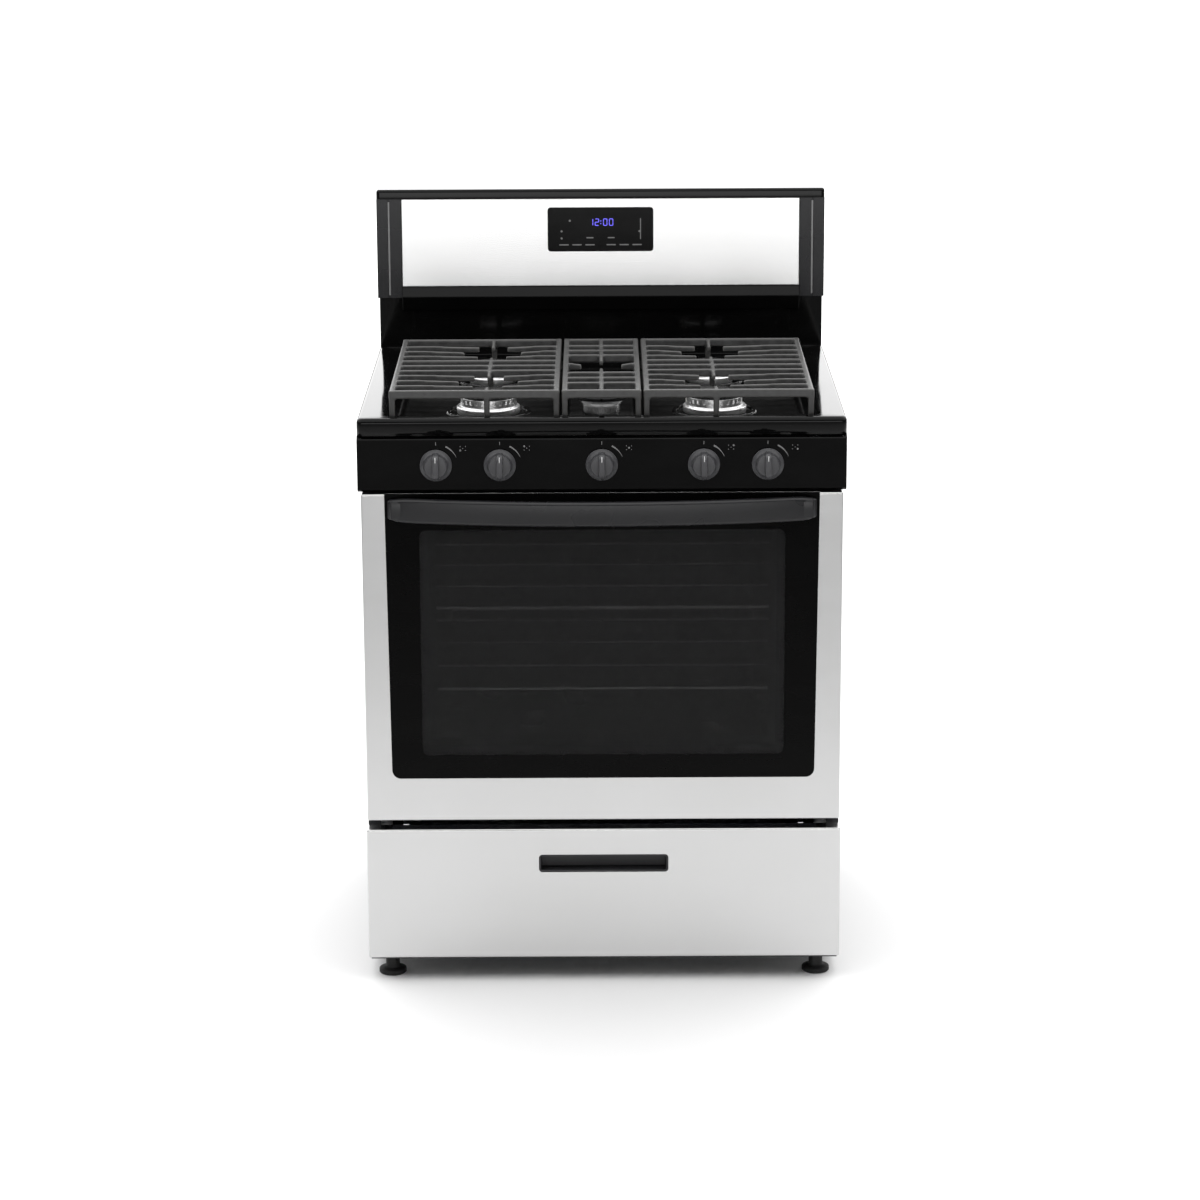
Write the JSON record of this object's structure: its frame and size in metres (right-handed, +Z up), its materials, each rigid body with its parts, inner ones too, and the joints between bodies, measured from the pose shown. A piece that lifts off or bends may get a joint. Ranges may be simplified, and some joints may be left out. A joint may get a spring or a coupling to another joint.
{
  "type": "freestanding gas range",
  "caption": "Freestanding gas range with sealed burners under cast grates, a windowed oven with a bowed handle, a steel backguard with a display, and a storage drawer.",
  "frame": {"origin": "on the floor, under the centre of the bounding box", "axes": "+Z up, +X to the right of a person facing the front, -Y towards that person"},
  "size_m": [0.759, 0.73, 1.191],
  "materials": {
    "brushed_steel_skin": "brushed satin",
    "black_enamel": "gloss enamel",
    "satin_black_paint": "satin paint",
    "cast_iron": "matt enamelled cast iron",
    "burner_aluminium": "die-cast satin",
    "cap_enamel": "satin black enamel",
    "galvanised_sheet": "galvanised",
    "oven_enamel": "speckled porcelain enamel",
    "rack_wire": "bright wire",
    "brass_fitting": "machined",
    "black_rubber": "matt",
    "gasket_fibre": "woven fibreglass",
    "dark_glass": "black-bordered tempered glass",
    "clear_glass": "clear tempered glass",
    "display_glass": "gloss black display window",
    "knob_plastic": "satin charcoal",
    "handle_satin": "satin black",
    "grip_plastic": "matt",
    "end_cap_plastic": "gloss"
  },
  "bodies": {
    "cabinet": {"side_panel_left": "satin_black_paint", "end_cap_left": "end_cap_plastic", "hinge_arm_left": "galvanised_sheet", "burner_head_front_left": "burner_aluminium", "burner_cap_front_left": "cap_enamel", "burner_head_rear_left": "burner_aluminium", "burner_cap_rear_left": "cap_enamel", "side_panel_right": "satin_black_paint", "end_cap_right": "end_cap_plastic", "hinge_arm_right": "galvanised_sheet", "burner_head_front_right": "burner_aluminium", "burner_cap_front_right": "cap_enamel", "burner_head_rear_right": "burner_aluminium", "burner_cap_rear_right": "cap_enamel", "burner_head_centre": "burner_aluminium", "burner_cap_centre": "cap_enamel", "rear_cover": "galvanised_sheet", "base_frame": "satin_black_paint", "cord_gland": "black_rubber", "oven_liner": "oven_enamel", "oven_floor_panel": "oven_enamel", "bake_burner": "galvanised_sheet", "broil_burner": "galvanised_sheet", "door_gasket": "gasket_fibre", "control_panel": "black_enamel", "gas_manifold": "galvanised_sheet", "gas_regulator": "brass_fitting", "cooktop_pan": "black_enamel", "backguard_housing": "black_enamel", "top_trim": "black_enamel", "fascia": "brushed_steel_skin", "display_glass": "display_glass", "vent_trim": "satin_black_paint", "gas_valve_1": "brass_fitting", "gas_valve_2": "brass_fitting", "gas_valve_3": "brass_fitting", "gas_valve_4": "brass_fitting", "gas_valve_5": "brass_fitting"},
    "oven_door": {"door_frame": "brushed_steel_skin", "door_glass_outer": "dark_glass", "door_liner": "oven_enamel", "door_glass_inner": "clear_glass", "door_handle": "handle_satin"},
    "storage_drawer": {"drawer_front": "brushed_steel_skin", "drawer_bin": "galvanised_sheet", "drawer_grip": "grip_plastic"},
    "knob_1_body": {"knob_1": "knob_plastic"},
    "knob_2_body": {"knob_2": "knob_plastic"},
    "knob_3_body": {"knob_3": "knob_plastic"},
    "knob_4_body": {"knob_4": "knob_plastic"},
    "knob_5_body": {"knob_5": "knob_plastic"},
    "grate_left_body": {"grate_left": "cast_iron"},
    "grate_right_body": {"grate_right": "cast_iron"},
    "grate_centre_body": {"grate_centre": "cast_iron"},
    "rack_lower_body": {"rack_lower": "rack_wire"},
    "rack_upper_body": {"rack_upper": "rack_wire"},
    "foot_front_left_body": {"foot_front_left": "black_rubber"},
    "foot_front_right_body": {"foot_front_right": "black_rubber"},
    "foot_rear_left_body": {"foot_rear_left": "black_rubber"},
    "foot_rear_right_body": {"foot_rear_right": "black_rubber"}
  },
  "joints": [
    {"name": "door_hinge", "type": "hinge", "parent": "cabinet", "child": "oven_door", "pos_m": [0, -0.3, 0.275], "axis": [1, 0, 0], "range_deg": [0, 90]},
    {"name": "drawer_slide", "type": "slide", "parent": "cabinet", "child": "storage_drawer", "axis": [0, -1, 0], "range_m": [0, 0.36]},
    {"name": "knob_1_turn", "type": "hinge", "parent": "cabinet", "child": "knob_1_body", "pos_m": [-0.257, -0.315, 0.849], "axis": [0, -1, 0], "range_deg": [0, 240]},
    {"name": "knob_2_turn", "type": "hinge", "parent": "cabinet", "child": "knob_2_body", "pos_m": [-0.158, -0.315, 0.849], "axis": [0, -1, 0], "range_deg": [0, 240]},
    {"name": "knob_3_turn", "type": "hinge", "parent": "cabinet", "child": "knob_3_body", "pos_m": [0, -0.315, 0.849], "axis": [0, -1, 0], "range_deg": [0, 240]},
    {"name": "knob_4_turn", "type": "hinge", "parent": "cabinet", "child": "knob_4_body", "pos_m": [0.158, -0.315, 0.849], "axis": [0, -1, 0], "range_deg": [0, 240]},
    {"name": "knob_5_turn", "type": "hinge", "parent": "cabinet", "child": "knob_5_body", "pos_m": [0.257, -0.315, 0.849], "axis": [0, -1, 0], "range_deg": [0, 240]},
    {"name": "grate_left_lift", "type": "slide", "parent": "cabinet", "child": "grate_left_body", "axis": [0, 0, 1], "range_m": [0, 0.08]},
    {"name": "grate_centre_lift", "type": "slide", "parent": "cabinet", "child": "grate_centre_body", "axis": [0, 0, 1], "range_m": [0, 0.08]},
    {"name": "grate_right_lift", "type": "slide", "parent": "cabinet", "child": "grate_right_body", "axis": [0, 0, 1], "range_m": [0, 0.08]},
    {"name": "rack_lower_slide", "type": "slide", "parent": "cabinet", "child": "rack_lower_body", "axis": [0, -1, 0], "range_m": [-0.014, 0.016]},
    {"name": "rack_upper_slide", "type": "slide", "parent": "cabinet", "child": "rack_upper_body", "axis": [0, -1, 0], "range_m": [-0.014, 0.016]},
    {"name": "foot_front_left_screw", "type": "hinge", "parent": "cabinet", "child": "foot_front_left_body", "pos_m": [-0.342, -0.268, 0], "axis": [0, 0, 1], "range_deg": [0, 4800]},
    {"name": "foot_front_right_screw", "type": "hinge", "parent": "cabinet", "child": "foot_front_right_body", "pos_m": [0.342, -0.268, 0], "axis": [0, 0, 1], "range_deg": [0, 4800]},
    {"name": "foot_rear_left_screw", "type": "hinge", "parent": "cabinet", "child": "foot_rear_left_body", "pos_m": [-0.342, 0.33, 0], "axis": [0, 0, 1], "range_deg": [0, 4800]},
    {"name": "foot_rear_right_screw", "type": "hinge", "parent": "cabinet", "child": "foot_rear_right_body", "pos_m": [0.342, 0.33, 0], "axis": [0, 0, 1], "range_deg": [0, 4800]}
  ]
}
